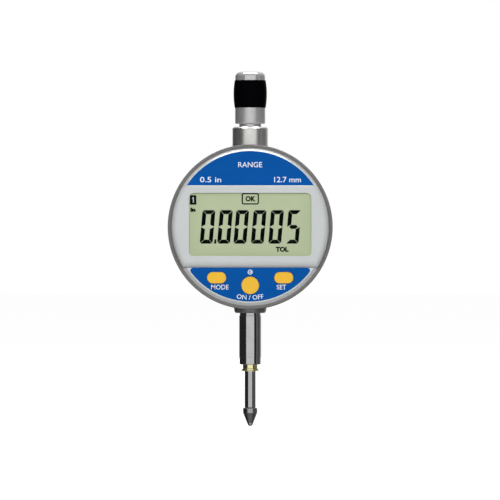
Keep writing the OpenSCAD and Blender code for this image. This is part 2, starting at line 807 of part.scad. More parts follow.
module face_frame() {
  color([0.78, 0.79, 0.79]) difference() {
    union() {
      turned_on_body() polygon([
        [0, plate_back], [face_r, plate_back], [face_r, spigot_top], [rim_r, spigot_top],
        [rim_r, spigot_top + 0.1], [label_r, label_plane], [0, label_plane]
      ]);
      raised_block();
      for (p = face_screws_at) pin_y(p[0], p[1], board_front, plate_back + 0.1, face_post_r);
    }
    plate(lcd_back - over, front_depth + over) window_outline();
    plate(plate_back - over, lcd_front + 0.1) translate([0, window_z])
      centred(lcd_w + 2 * seat_gap, lcd_h + 2 * seat_gap);
    plate(plate_back - over, label_plane + over) button_outlines(button_gap);
    for (p = face_screws_at)
      pin_y(p[0], p[1], board_front - over, label_plane - 0.5, face_screw_d / 2);
  }
}

module face_screws() {
  length = label_plane - 0.6 - shell_back - 0.1;
  color("silver") for (p = face_screws_at)
    countersunk_screw(p[0], p[1], shell_back + 0.1, face_screw_d, length);
}

module window_lens() {
  color([0.9, 0.95, 0.95, 0.4]) plate(lens_back, lens_front) window_outline(seat_gap);
}

module upper_label() {
  color([0.01, 0.31, 0.62]) plate(label_plane, label_plane + label_t) intersection() {
    circle(r = label_r);
    translate([-label_r, upper_label_z]) square([2 * label_r, label_r]);
  }
}

// A segment of a circle whose two corners are rounded
module lower_label_outline() {
  r = label_r - lower_label_margin;
  corner_r = 1;
  corner_z = lower_label_z + corner_r;
  corner_x = sqrt(pow(r - corner_r, 2) - pow(corner_z, 2));
  reach = 2;
  intersection() {
    circle(r = r);
    translate([-r, -r]) square([2 * r, r - lower_label_z]);
    polygon([
      [0, 0], [-reach * corner_x, -reach * corner_z], [reach * corner_x, -reach * corner_z]
    ]);
  }
  translate([-corner_x, -corner_z]) square([2 * corner_x, corner_r]);
  for (side = [-1, 1]) translate([side * corner_x, -corner_z]) circle(r = corner_r);
}

module lower_label() {
  color([0.01, 0.31, 0.62]) plate(label_plane, label_plane + label_t) difference() {
    lower_label_outline();
    button_outlines(button_gap);
  }
}

module lcd_front_glass() {
  color([0.73, 0.77, 0.63]) plate(lcd_front - lcd_t / 2, lcd_front) translate([0, window_z])
    centred(lcd_w, lcd_h);
}

module lcd_rear_glass() {
  color([0.7, 0.74, 0.6]) plate(lcd_back, lcd_front - lcd_t / 2) translate([0, window_z])
    centred(lcd_w, lcd_h);
}

module lcd_reflector() {
  color([0.8, 0.8, 0.8]) plate(lcd_back - reflector_t, lcd_back) translate([0, window_z - 0.8])
    centred(lcd_w - 2, lcd_h - 2.4);
}

// The conductive rubber bar between the glass and the main board
module zebra_strip() {
  w = 38;
  h = 1.2;
  color([0.2, 0.2, 0.22]) plate(board_front, lcd_back)
    translate([-w / 2, window_z + lcd_h / 2 - 0.1 - h]) square([w, h]);
}

// The main board is cut open on one side for the battery tray
module main_board() {
  color([0.05, 0.35, 0.2]) plate(board_back, board_front) difference() {
    circle(r = shell_r - 0.4);
    translate([tray_inner_x - 1.3, -tray_w / 2 - 0.6]) square([body_r, tray_w + 1.2]);
    for (p = face_screws_at) translate(p) circle(d = face_screw_d + 0.2);
  }
}

module main_board_chips() {
  color([0.1, 0.1, 0.1]) chips(board_front, [
    [-12, 3, 8, 8, 1.2], [-19, -6, 4, 5, 1], [-5, -7, 3, 6, 1.4], [-2, 6, 4, 3, 1]
  ]);
}

// The ribbon from the main board through the hub to the sensor board
module flex_cable() {
  color([0.8, 0.5, 0.15]) translate([-8.1, -board_back, body_z - 3])
    cube([0.2, board_back + scale_back - scale_t - 0.4, 6]);
}

// Each button's outline grown by a gap
module side_button_outline(gap = 0) {
  rounded(side_button_w + 2 * gap, side_button_h + 2 * gap, side_button_r + gap);
}

module button_outlines(gap = 0) {
  for (side = [-1, 1])
    translate([side * side_button_x, -side_button_z]) side_button_outline(gap);
  translate([0, -centre_button_z]) circle(r = centre_button_d / 2 + gap);
}

// A silicone gasket round the buttons, between the main board and the frame
module keypad_seal() {
  seal_w = 2 * (side_button_x + side_button_w / 2 + button_flange_w) + 2.8;
  color([0.25, 0.25, 0.27]) plate(board_front, plate_back) difference() {
    intersection() {
      circle(r = shell_r - 0.3);
      translate([-seal_w / 2, -body_r]) square([seal_w, body_r - lower_label_z + 0.7]);
    }
    button_outlines(button_flange_w + 0.3);
  }
}

module push_switch(x, z) {
  plate(board_front, board_front + switch_h - 0.1) translate([x, z]) centred(4, 3);
  pin_y(x, z, board_front, board_front + switch_h, 1);
}

module switches() {
  color([0.7, 0.7, 0.7]) {
    push_switch(-side_button_x, -side_button_z);
    push_switch(side_button_x, -side_button_z);
    push_switch(0, -centre_button_z);
  }
}

// A leaf under the cell and a blade at the tray's inner end
module battery_contacts() {
  color([0.85, 0.75, 0.45]) {
    plate(floor_front, floor_front + 0.2) translate([cell_x - 2, -1.5]) square([9, 3]);
    pin_y(cell_x + 1, 0, floor_front, tray_back - 0.15, 1.2);
    plate(board_back, board_front + 1) translate([tray_inner_x - 1.3, -3]) square([0.2, 6]);
  }
}

// ---- Battery tray ----

// A frame round the cell with a lip under it; its outer end follows the rim
module battery_tray() {
  inside_end = cell_x + cell_d / 2;
  color([0.3, 0.31, 0.32]) difference() {
    plate(tray_back, tray_front) intersection() {
      translate([tray_inner_x, -tray_w / 2]) square([body_r, tray_w]);
      circle(r = body_r);
    }
    plate(tray_back + tray_lip_t, tray_front + over) translate([cell_x, 0])
      circle(r = cell_d / 2 + 0.1);
    plate(tray_back - over, tray_front + over) translate([cell_x, 0]) circle(r = cell_d / 2 - 1.5);
    translate([body_r + 0.6, -(tray_back + tray_front) / 2, body_z - 5]) cylinder(h = 10, r = 1.3);
  }
}

module battery_cell() {
  color("silver") plate(tray_back + tray_lip_t, tray_back + tray_lip_t + cell_t)
    translate([cell_x, 0]) circle(d = cell_d);
}

// ---- Buttons ----

// A flange behind the frame and a head that stands out of the label
module side_button(side) {
  color([0.93, 0.7, 0.2]) translate([side * side_button_x, 0, -side_button_z]) {
    plate(button_flange_back, button_flange_front) side_button_outline(button_flange_w);
    plate(button_flange_front, button_front) side_button_outline();
  }
}

module mode_button() {
  side_button(-1);
}

module set_button() {
  side_button(1);
}

module centre_button() {
  color([0.93, 0.7, 0.2]) {
    pin_y(0, -centre_button_z, button_flange_back, button_flange_front,
      centre_button_d / 2 + button_flange_w);
    pin_y(0, -centre_button_z, button_flange_front, button_front, centre_button_d / 2);
  }
}

rear_housing();
back_cover();
cover_screws();
stem();
lower_bush();
upper_barrel();
neck_tube();
upper_bush();
damper_washer();
guide_rail();
guide_rail_screws();
sensor_board();
sensor_chips();
sensor_board_screws();
o_ring();
return_spring();
spindle();
slider();
slider_screw();
guide_pin();
scale_plate();
contact_point();
contact_ball();
cap_skirt();
grip_sleeve();
cap_dome();
display_shell();
retaining_ring();
stop_pin();
bezel_ring();
face_frame();
face_screws();
window_lens();
upper_label();
lower_label();
lcd_front_glass();
lcd_rear_glass();
lcd_reflector();
zebra_strip();
main_board();
main_board_chips();
flex_cable();
keypad_seal();
switches();
battery_contacts();
battery_tray();
battery_cell();
mode_button();
set_button();
centre_button();
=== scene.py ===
"""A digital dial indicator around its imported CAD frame.

Finishes, printed words, display segments, the return spring, the studio and the camera.
"""
import math

import bpy
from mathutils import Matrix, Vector


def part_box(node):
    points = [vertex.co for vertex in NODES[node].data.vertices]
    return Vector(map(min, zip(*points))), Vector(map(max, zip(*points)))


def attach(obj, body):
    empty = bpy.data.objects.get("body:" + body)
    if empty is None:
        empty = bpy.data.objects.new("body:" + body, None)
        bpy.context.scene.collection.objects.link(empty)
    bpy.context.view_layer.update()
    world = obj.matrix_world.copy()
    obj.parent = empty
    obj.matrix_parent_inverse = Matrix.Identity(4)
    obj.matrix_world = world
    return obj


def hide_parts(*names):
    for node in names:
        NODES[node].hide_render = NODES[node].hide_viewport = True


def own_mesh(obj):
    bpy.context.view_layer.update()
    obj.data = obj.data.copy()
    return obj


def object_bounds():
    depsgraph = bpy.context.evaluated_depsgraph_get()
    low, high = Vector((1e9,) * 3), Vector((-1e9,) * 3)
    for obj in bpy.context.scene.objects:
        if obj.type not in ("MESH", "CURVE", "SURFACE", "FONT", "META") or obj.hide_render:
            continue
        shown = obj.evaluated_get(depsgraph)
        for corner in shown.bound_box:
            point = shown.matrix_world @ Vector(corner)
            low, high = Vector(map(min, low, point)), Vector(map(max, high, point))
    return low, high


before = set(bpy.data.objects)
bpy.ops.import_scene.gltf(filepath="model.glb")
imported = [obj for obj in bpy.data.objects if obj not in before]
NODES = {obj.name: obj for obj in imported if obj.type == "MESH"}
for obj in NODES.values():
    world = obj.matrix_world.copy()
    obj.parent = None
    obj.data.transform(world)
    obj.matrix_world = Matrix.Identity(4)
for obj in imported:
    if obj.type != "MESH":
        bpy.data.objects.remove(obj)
CAD_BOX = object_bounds()

MM = 0.001

# ---- Places taken from the frame ----

COVER_LOW, COVER_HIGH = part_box("back_cover")
BODY_Z = (COVER_LOW.z + COVER_HIGH.z) / 2
LABEL_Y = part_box("upper_label")[0].y
LCD_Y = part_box("lcd_front_glass")[0].y
TIP_Z = CAD_BOX[0].z


# ---- Node building ----

class Graph:
    """A material's node tree, with short calls for adding and joining nodes."""

    def __init__(self, name):
        self.material = bpy.data.materials.new(name)
        self.material.use_nodes = True
        self.tree = self.material.node_tree
        self.tree.nodes.clear()
        output = self.add("ShaderNodeOutputMaterial")
        self.shader = self.add("ShaderNodeBsdfPrincipled")
        self.link(self.shader.outputs[0], output.inputs["Surface"])

    def add(self, kind, **settings):
        node = self.tree.nodes.new(kind)
        for key, value in settings.items():
            setattr(node, key, value)
        return node

    def link(self, source, target):
        self.tree.links.new(source, target)

    def set(self, **values):
        for key, value in values.items():
            socket = self.shader.inputs[key.replace("_", " ")]
            if hasattr(socket.default_value, "__len__") and len(value) == 3:
                value = (*value, 1)
            socket.default_value = value

    def place(self):
        """Object coordinates, which are the row frame's, in metres."""
        return self.add("ShaderNodeTexCoord").outputs["Object"]

    def axes(self):
        """The object coordinates one by one, as outputs X, Y and Z."""
        parts = self.add("ShaderNodeSeparateXYZ")
        self.link(self.place(), parts.inputs[0])
        return parts.outputs

    def math(self, operation, a, b=None):
        node = self.add("ShaderNodeMath", operation=operation)
        for socket, value in zip(node.inputs, (a, b)):
            if value is None:
                continue
            if isinstance(value, (int, float)):
                socket.default_value = value
            else:
                self.link(value, socket)
        return node.outputs[0]

    def scaled(self, source, scale):
        node = self.add("ShaderNodeMapping")
        node.inputs["Scale"].default_value = scale
        self.link(source, node.inputs["Vector"])
        return node.outputs[0]

    def noise(self, vector, scale, detail, roughness):
        node = self.add("ShaderNodeTexNoise")
        node.inputs["Scale"].default_value = scale
        node.inputs["Detail"].default_value = detail
        node.inputs["Roughness"].default_value = roughness
        self.link(vector, node.inputs["Vector"])
        return node.outputs["Fac"]

    def spread(self, source, low, high, start=0.3, end=0.7):
        """Maps a value from start..end to low..high."""
        node = self.add("ShaderNodeMapRange")
        node.inputs["From Min"].default_value = start
        node.inputs["From Max"].default_value = end
        node.inputs["To Min"].default_value = low
        node.inputs["To Max"].default_value = high
        self.link(source, node.inputs["Value"])
        return node.outputs[0]

    def blend(self, factor, first, second):
        node = self.add("ShaderNodeMix", data_type="RGBA")
        self.link(factor, node.inputs["Factor"])
        for socket, colour in ((node.inputs["A"], first), (node.inputs["B"], second)):
            if hasattr(colour, "node"):
                self.link(colour, socket)
            else:
                socket.default_value = (*colour, 1)
        return node.outputs["Result"]

    def bump(self, height, strength, depth):
        node = self.add("ShaderNodeBump")
        node.inputs["Strength"].default_value = strength
        node.inputs["Distance"].default_value = depth
        self.link(height, node.inputs["Height"])
        return node.outputs[0]

    def radius(self):
        """Distance from the body's axis, in metres."""
        parts = self.axes()
        up = self.math("SUBTRACT", parts["Z"], BODY_Z)
        across = self.math("MULTIPLY", parts["X"], parts["X"])
        return self.math("SQRT", self.math("ADD", across, self.math("MULTIPLY", up, up)))


# Noise scales, per metre
MARK_LENGTH_SCALE = 60
PATCH_SCALE = 350
SMUDGE_SCALE = 90
GRAIN_SCALE = 4500
CLOUD_SCALE = 60

METAL_TINT = 0.06
MARK_HEIGHT = 0.004 * MM
GRAIN_HEIGHT = 0.006 * MM
ZONE_FADE = 0.03 * MM
FACE_ANISOTROPY = 0.75


def turned_metal(name, colour, roughness, marks, mark_depth=0.4, mark_scale=9000, metallic=1.0, zone=None):
    """Metal turned in a lathe.

    marks is the axis along which the tool marks follow each other, or "r" for a face.
    zone is (height, colour, roughness, metallic) of the part above that height, which is in metres.
    """
    g = Graph(name)
    if marks == "r":
        combine = g.add("ShaderNodeCombineXYZ")
        g.link(g.radius(), combine.inputs["X"])
        lines = g.scaled(combine.outputs[0], (mark_scale, 1, 1))
    else:
        lines = g.scaled(g.place(), [mark_scale if axis == marks else MARK_LENGTH_SCALE for axis in "xyz"])
    fine = g.noise(lines, 1.0, 2.0, 0.5)
    patches = g.noise(g.place(), PATCH_SCALE, 3.0, 0.6)
    smudges = g.noise(g.place(), SMUDGE_SCALE, 4.0, 0.65)
    darker, lighter = (tuple(c * k for c in colour) for k in (1 - METAL_TINT, 1 + METAL_TINT))
    shade = g.blend(g.spread(patches, 0, 1), darker, lighter)
    mix = g.math("ADD", g.math("MULTIPLY", fine, 0.5), g.math("MULTIPLY", smudges, 0.5))
    rough = g.spread(mix, roughness * 0.8, roughness * 1.25)
    g.set(Metallic=metallic)
    if zone:
        height, zone_colour, zone_roughness, zone_metallic = zone
        above = g.spread(g.axes()["Z"], 0, 1, height - ZONE_FADE, height + ZONE_FADE)
        shade = g.blend(above, shade, zone_colour)
        rough = g.math("ADD", rough, g.math("MULTIPLY", above, zone_roughness - roughness))
        g.link(g.spread(above, metallic, zone_metallic, 0, 1), g.shader.inputs["Metallic"])
    g.link(shade, g.shader.inputs["Base Color"])
    g.link(rough, g.shader.inputs["Roughness"])
    g.link(g.bump(fine, mark_depth, MARK_HEIGHT), g.shader.inputs["Normal"])
    if marks == "r":
        round_axis = g.add("ShaderNodeTangent", direction_type="RADIAL", axis="Y")
        g.link(round_axis.outputs[0], g.shader.inputs["Tangent"])
        g.set(Anisotropic=FACE_ANISOTROPY)
    return g.material


def moulded(name, colour, roughness, grain=0.25, tint=0.03, specular=0.5):
    """Moulded plastic or rubber with a fine spark-eroded texture."""
    g = Graph(name)
    grains = g.noise(g.place(), GRAIN_SCALE, 2.0, 0.5)
    patches = g.noise(g.place(), CLOUD_SCALE, 3.0, 0.6)
    darker = tuple(c * (1 - tint) for c in colour)
    lighter = tuple(min(1, c * (1 + tint)) for c in colour)
    g.link(g.blend(g.spread(patches, 0, 1), darker, lighter), g.shader.inputs["Base Color"])
    g.link(g.spread(grains, roughness * 0.88, roughness * 1.12), g.shader.inputs["Roughness"])
    g.link(g.bump(grains, grain, GRAIN_HEIGHT), g.shader.inputs["Normal"])
    g.set(Specular_IOR_Level=specular)
    return g.material


def srgb(r, g, b):
    """A display colour, from 0 to 255, as a linear colour."""
    return tuple((v / 255 / 12.92) if v <= 10 else ((v / 255 + 0.055) / 1.055) ** 2.4 for v in (r, g, b))


# ---- Materials ----

GREY_METAL = (0.5, 0.502, 0.505)
# The stem is polished up to the blasted collar, which begins at this height
COLLAR_Z = 8.44 * MM
LENS_IOR = 1.08

case_side = turned_metal("case_side", GREY_METAL, 0.3, "y")
case_back = turned_metal("case_back", (0.56, 0.565, 0.57), 0.3, "r", mark_depth=0.5, mark_scale=5000)
ring_metal = turned_metal("ring_metal", (0.185, 0.18, 0.176), 0.45, "r", metallic=0.3)
barrel_metal = turned_metal("barrel_metal", (0.74, 0.742, 0.715), 0.31, "z", mark_depth=0.12, metallic=0.92)
stem_metal = turned_metal("stem_metal", (0.53, 0.53, 0.53), 0.09, "z", mark_depth=0.1,
                          zone=(COLLAR_Z, (0.24, 0.24, 0.24), 0.4, 0.5))
spindle_metal = turned_metal("spindle_metal", (0.48, 0.48, 0.48), 0.09, "z", mark_depth=0.1)
cap_metal = turned_metal("cap_metal", (0.53, 0.53, 0.53), 0.32, "z", mark_depth=0.12, metallic=0.6)
dome_metal = turned_metal("dome_metal", (0.6, 0.6, 0.6), 0.08, "z", mark_depth=0.08, metallic=0.55)
contact_metal = turned_metal("contact_metal", (0.42, 0.42, 0.42), 0.3, "z")
ball_metal = turned_metal("ball_metal", (0.6, 0.6, 0.6), 0.08, "z", mark_depth=0.05)
screw_black = turned_metal("screw_black", (0.06, 0.06, 0.062), 0.3, "y", mark_depth=0.1)
inner_metal = turned_metal("inner_metal", (0.5, 0.5, 0.51), 0.35, "y")
cell_metal = turned_metal("cell_metal", (0.78, 0.78, 0.79), 0.22, "y", mark_depth=0.1, metallic=0.85)
brass = turned_metal("brass", (0.98, 0.9, 0.5), 0.2, "z", mark_depth=0.2)
grip_rubber = moulded("grip_rubber", (0.0006, 0.0006, 0.0012), 0.6, grain=0.4, specular=0.03)
seal_rubber = moulded("seal_rubber", (0.03, 0.03, 0.032), 0.7)
frame_plastic = moulded("frame_plastic", srgb(203, 206, 206), 0.27, grain=0.2)
label_film = moulded("label_film", srgb(2, 84, 164), 0.45, grain=0.12, tint=0.04, specular=0.08)
button_plastic = moulded("button_plastic", srgb(245, 191, 52), 0.45, grain=0.2)
board_laminate = moulded("board_laminate", (0.02, 0.16, 0.07), 0.4)
chip_plastic = moulded("chip_plastic", (0.02, 0.02, 0.02), 0.5)
ribbon_film = moulded("ribbon_film", (0.6, 0.3, 0.06), 0.35)
tray_plastic = moulded("tray_plastic", (0.09, 0.092, 0.095), 0.5)
reflector_film = moulded("reflector_film", (0.7, 0.71, 0.68), 0.5)
print_white = moulded("print_white", srgb(240, 244, 250), 0.45, grain=0.1)
segment_ink = moulded("segment_ink", (0.001, 0.0015, 0.001), 0.5, grain=0.05, specular=0.01)


def lens_material():
    """Clear plastic with an anti-glare coat: little gloss face on, more at a slant, with faint wipe marks."""
    g = Graph("lens")
    wipes = g.noise(g.scaled(g.place(), (300, 60, 900)), 1.0, 4.0, 0.6)
    g.link(g.spread(wipes, 0.03, 0.09), g.shader.inputs["Roughness"])
    gloss = g.add("ShaderNodeFresnel")
    gloss.inputs["IOR"].default_value = LENS_IOR
    g.link(gloss.outputs[0], g.shader.inputs["Alpha"])
    g.set(Base_Color=(0.95, 0.97, 0.96), Metallic=1.0)
    return g.material


def lcd_material():
    """The pale green-grey field of a reflective display, with painted shade darkening it towards its edges
    and a faint painted glow.
    """
    g = Graph("lcd")
    low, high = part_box("window_lens")
    parts = g.axes()
    half_w, half_h = (high.x - low.x) / 2, (high.z - low.z) / 2
    from_middle = g.math("SUBTRACT", parts["Z"], (low.z + high.z) / 2)
    across = g.math("ABSOLUTE", g.math("DIVIDE", parts["X"], half_w))
    up = g.math("ABSOLUTE", g.math("DIVIDE", from_middle, half_h))
    # Painted shade: the field darkens towards all four edges, standing in for the shadow of the window's rim
    edge = g.math("POWER", g.math("MAXIMUM", across, up), 8)
    clouds = g.noise(g.place(), 45, 3.0, 0.5)
    field = g.blend(g.spread(clouds, 0, 1), srgb(180, 190, 158), srgb(185, 195, 163))
    shade = g.blend(g.math("MULTIPLY", edge, 0.5), field, srgb(163, 175, 135))
    g.link(shade, g.shader.inputs["Base Color"])
    # Painted glow: the display gives off a faint light of its own, though it is no lamp, which evens out its
    # shading
    g.link(shade, g.shader.inputs["Emission Color"])
    g.set(Roughness=0.4, Specular_IOR_Level=0.05, Emission_Strength=0.05)
    return g.material


LOOKS = {
    case_side: ["rear_housing", "display_shell"],
    case_back: ["back_cover"],
    ring_metal: ["bezel_ring"],
    barrel_metal: ["upper_barrel"],
    stem_metal: ["stem"],
    spindle_metal: ["spindle"],
    cap_metal: ["cap_skirt", "neck_tube"],
    dome_metal: ["cap_dome"],
    contact_metal: ["contact_point"],
    ball_metal: ["contact_ball"],
    inner_metal: [
        "guide_rail", "guide_rail_screws", "sensor_board_screws", "return_spring",
        "slider", "slider_screw", "guide_pin", "retaining_ring", "stop_pin", "face_screws",
    ],
    cell_metal: ["battery_cell"],
    screw_black: ["cover_screws"],
    brass: ["lower_bush", "upper_bush", "battery_contacts"],
    grip_rubber: ["grip_sleeve"],
    seal_rubber: ["damper_washer", "o_ring", "keypad_seal", "zebra_strip"],
    frame_plastic: ["face_frame"],
    label_film: ["upper_label", "lower_label"],
    button_plastic: ["mode_button", "set_button", "centre_button"],
    board_laminate: ["sensor_board", "main_board"],
    chip_plastic: ["sensor_chips", "main_board_chips", "switches"],
    ribbon_film: ["flex_cable"],
    tray_plastic: ["battery_tray"],
    reflector_film: ["lcd_reflector", "scale_plate"],
    lens_material(): ["window_lens"],
    lcd_material(): ["lcd_front_glass", "lcd_rear_glass"],
}
for look, names in LOOKS.items():
    for name in names:
        slots = NODES[name].data.materials
        slots.clear()
        slots.append(look)


# ---- Printing and display segments ----

PRINT_T = 0.03 * MM

# What a print shows: its look, its slot and the surface it lies on
DISPLAY_INK = (segment_ink, "lcd_panel", LCD_Y)
LABEL_INK = (print_white, "label_film", LABEL_Y)
FIGURE_INK = (frame_plastic, "frame_plastic", LCD_Y - PRINT_T)


def add_piece(name, corners, faces, look, body):
    """A mesh piece from points in the row frame, riding on a body."""
    mesh = bpy.data.meshes.new(name)
    mesh.from_pydata(corners, [], faces)
    mesh.validate()
    mesh.materials.append(look)
    piece = bpy.data.objects.new(name, mesh)
    bpy.context.scene.collection.objects.link(piece)
    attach(piece, body)
    return piece


def raise_print(name, corners, faces, ink):
    """Raises flat faces of (x, z) points, in millimetres from the body's axis, into thin closed shapes."""
    look, slot, front_y = ink
    count = len(corners)
    solid = [(x * MM, front_y - PRINT_T, BODY_Z + z * MM) for x, z in corners]
    solid += [(x * MM, front_y, BODY_Z + z * MM) for x, z in corners]
    sides = {}
    for face in faces:
        for i, a in enumerate(face):
            b = face[(i + 1) % len(face)]
            if (b, a) in sides:
                del sides[(b, a)]
            else:
                sides[(a, b)] = True
    walls = [[b, a, a + count, b + count] for a, b in sides]
    backs = [[i + count for i in reversed(face)] for face in faces]
    return add_piece(name, solid, faces + backs + walls, look, "display")


def print_shapes(name, outlines, ink):
    """A print of simple outlines, each a closed shape of its own."""
    corners, faces = [], []
    for outline in outlines:
        faces.append(list(range(len(corners), len(corners) + len(outline))))
        corners += outline
    return raise_print(name, corners, faces, ink)


def rounded_outline(cx, cz, w, h, r, steps=6):
    """Counter-clockwise points of a rectangle with round corners."""
    points = []
    for turn, sx, sz in ((0, 1, 1), (90, -1, 1), (180, -1, -1), (270, 1, -1)):
        corner_x, corner_z = cx + sx * (w / 2 - r), cz + sz * (h / 2 - r)
        for i in range(steps + 1):
            angle = math.radians(turn + 90 * i / steps)
            points.append((corner_x + r * math.cos(angle), corner_z + r * math.sin(angle)))
    return points


def frame_strips(outer, inner):
    """Quads that fill the band between two outlines with equal counts."""
    count = len(outer)
    return [[outer[i], outer[(i + 1) % count], inner[(i + 1) % count], inner[i]] for i in range(count)]


# The reading, in millimetres; the digits after the decimal point stand LATER_SHIFT off the pitch
DIGIT_W, DIGIT_H, SEGMENT_T, SEGMENT_GAP = 4.6, 12.0, 1.43, 0.07
DIGIT_CORNER = 0.5
DIGIT_SLANT = math.tan(math.radians(5))
DIGIT_LOW_Z = -6.02
FIRST_DIGIT_X = -18.1
DIGIT_PITCH = 6.24
LATER_SHIFT = -0.4
POINT_GAP, POINT_W, POINT_H, POINT_LEAN = 0.55, 0.75, 1.55, 0.1
READING = "000005"
LIT = {"0": "abcdef", "5": "acdfg"}


def segment_outlines():
    """The seven segments of an upright digit, from its lower left corner."""
    w, h, t, g, c = DIGIT_W, DIGIT_H, SEGMENT_T, SEGMENT_GAP, DIGIT_CORNER
    mid = h / 2
    top = [
        (c / 2 + g, h - c / 2 + g / 2), (c + g / 2, h), (w - c - g / 2, h),
        (w - c / 2 - g, h - c / 2 + g / 2), (w - t - g, h - t), (t + g, h - t),
    ]
    left_up = [(0, mid + g), (t, mid + t / 2 + g), (t, h - t - g), (c / 2, h - c / 2 - g), (0, h - c - g)]
    middle = [
        (t / 2, mid), (t + g, mid + t / 2), (w - t - g, mid + t / 2), (w - t / 2, mid),
        (w - t - g, mid - t / 2), (t + g, mid - t / 2),
    ]

    def flip_x(points):
        return [(w - x, z) for x, z in points]

    def flip_z(points):
        return [(x, h - z) for x, z in points]

    return {
        "a": top, "b": flip_x(left_up), "c": flip_z(flip_x(left_up)), "d": flip_z(top),
        "e": flip_z(left_up), "f": left_up, "g": middle,
    }


def reading_outlines():
    """The lit segments of all digits, with the decimal point after the first."""
    shapes = segment_outlines()
    outlines = []
    for place, digit in enumerate(READING):
        left = FIRST_DIGIT_X + place * DIGIT_PITCH + (LATER_SHIFT if place > 1 else 0)
        for letter in LIT[digit]:
            outlines.append([(left + x + z * DIGIT_SLANT, DIGIT_LOW_Z + z) for x, z in shapes[letter]])
    left, low = FIRST_DIGIT_X + DIGIT_W + POINT_GAP, DIGIT_LOW_Z
    right, high = left + POINT_W, low + POINT_H
    outlines.append([(left, low), (right, low), (right + POINT_LEAN, high), (left + POINT_LEAN, high)])
    return outlines


def text_piece(name, words, x, z, height, width, bold, ink):
    """Lettering stretched to a height and a width and centred on (x, z), all in millimetres."""
    curve = bpy.data.curves.new(name, "FONT")
    curve.body = words
    curve.offset = bold
    curve.resolution_u = 3
    made = bpy.data.objects.new(name, curve)
    mesh = bpy.data.meshes.new_from_object(made)
    bpy.data.objects.remove(made)
    xs = [v.co.x for v in mesh.vertices]
    ys = [v.co.y for v in mesh.vertices]
    across, up = width / (max(xs) - min(xs)), height / (max(ys) - min(ys))
    mid_x, mid_y = (max(xs) + min(xs)) / 2, (max(ys) + min(ys)) / 2
    corners = [(x + (v.co.x - mid_x) * across, z + (v.co.y - mid_y) * up) for v in mesh.vertices]
    faces = [list(p.vertices) for p in mesh.polygons]
    bpy.data.meshes.remove(mesh)
    return raise_print(name, corners, faces, ink)


def bend_round(piece, radius):
    """Wraps flat lettering at the bottom of the label round the body's axis."""
    for v in piece.data.vertices:
        along, out = v.co.x, BODY_Z - v.co.z
        angle = along / radius
        v.co.x, v.co.z = out * math.sin(angle), BODY_Z - out * math.cos(angle)


OK_PLACE = (0.04, 10.06)
OK_W, OK_H, OK_CORNER, OK_LINE = 6.2, 4.15, 0.75, 0.46
CHANNEL_X, CHANNEL_Z = -20.45, 9.65
CHANNEL_W, CHANNEL_H, CHANNEL_CORNER = 2.3, 3.4, 0.1
FIGURE_ONE = ((-0.08, -1), (0.22, -1), (0.22, 1), (-0.02, 1), (-0.4, 0.62), (-0.4, 0.38), (-0.08, 0.6))


def display_symbols():
    """The reading and the signs round it. The numbers of a word are those of text_piece."""
    print_shapes("reading", reading_outlines(), DISPLAY_INK)
    text_piece("ok_word", "OK", 0.12, 10.05, 1.95, 3.65, 0.05, DISPLAY_INK)
    outer = rounded_outline(*OK_PLACE, OK_W, OK_H, OK_CORNER)
    inner = rounded_outline(*OK_PLACE, OK_W - 2 * OK_LINE, OK_H - 2 * OK_LINE, OK_CORNER - OK_LINE)
    print_shapes("ok_box", frame_strips(outer, inner), DISPLAY_INK)
    text_piece("tol_word", "TOL", 11.45, -8.05, 1.85, 4.6, 0.06, DISPLAY_INK)
    text_piece("unit_word", "In", -20.5, 6.15, 1.5, 1.85, 0.08, DISPLAY_INK)
    channel = rounded_outline(CHANNEL_X, CHANNEL_Z, CHANNEL_W, CHANNEL_H, CHANNEL_CORNER)
    print_shapes("channel_box", [channel], DISPLAY_INK)
    print_shapes("channel_number", [[(CHANNEL_X + x, CHANNEL_Z + z) for x, z in FIGURE_ONE]], FIGURE_INK)


LABEL_BOLD = 0.004
POWER_R = 25.3
# Words on the labels: text, centre x and z, height and width, in millimetres from the body's axis
LABEL_WORDS = {
    "mode_word": ("MODE", -10.85, -21.6, 1.72, 6.3),
    "set_word": ("SET", 11.2, -21.6, 1.72, 3.4),
    "power_word": ("ON / OFF", 0, -POWER_R, 1.65, 9.6),
    "range_word": ("RANGE", 0, 22.3, 1.9, 8.6),
    "metric_word": ("12.7 mm", 13.4, 16.95, 1.95, 9.6),
    "inch_word": ("0.5 in", -14.2, 16.95, 1.95, 7.6),
}


def label_printing():
    """The white words on both labels. The lowest follows the round edge under the centre button."""
    for name, (words, x, z, height, width) in LABEL_WORDS.items():
        piece = text_piece(name, words, x, z, height, width, LABEL_BOLD, LABEL_INK)
        if name == "power_word":
            bend_round(piece, POWER_R * MM)


ICON_Z = -16.2
ICON_OUTER_D, ICON_INNER_D = 1.8, 1.25
ICON_ARROW = (
    (-0.35, -0.15), (0.15, -0.15), (0.15, -0.4), (0.75, 0), (0.15, 0.4), (0.15, 0.15), (-0.35, 0.15),
)
# Keeps the ends of a ring's four quarter turns from falling together
ICON_SPLIT = 0.001


def transfer_icon():
    """A ring with an arrow, over the centre button."""
    diameters = (ICON_OUTER_D, ICON_INNER_D)
    outer, inner = (rounded_outline(0, ICON_Z, d, d, d / 2 - ICON_SPLIT) for d in diameters)
    arrow = [(x, ICON_Z + z) for x, z in ICON_ARROW]
    print_shapes("transfer_icon", frame_strips(outer, inner) + [arrow], LABEL_INK)


COIL_WIRE = 0.4 * MM
COIL_TURNS, COIL_STEPS, COIL_SIDES = 11, 24, 10


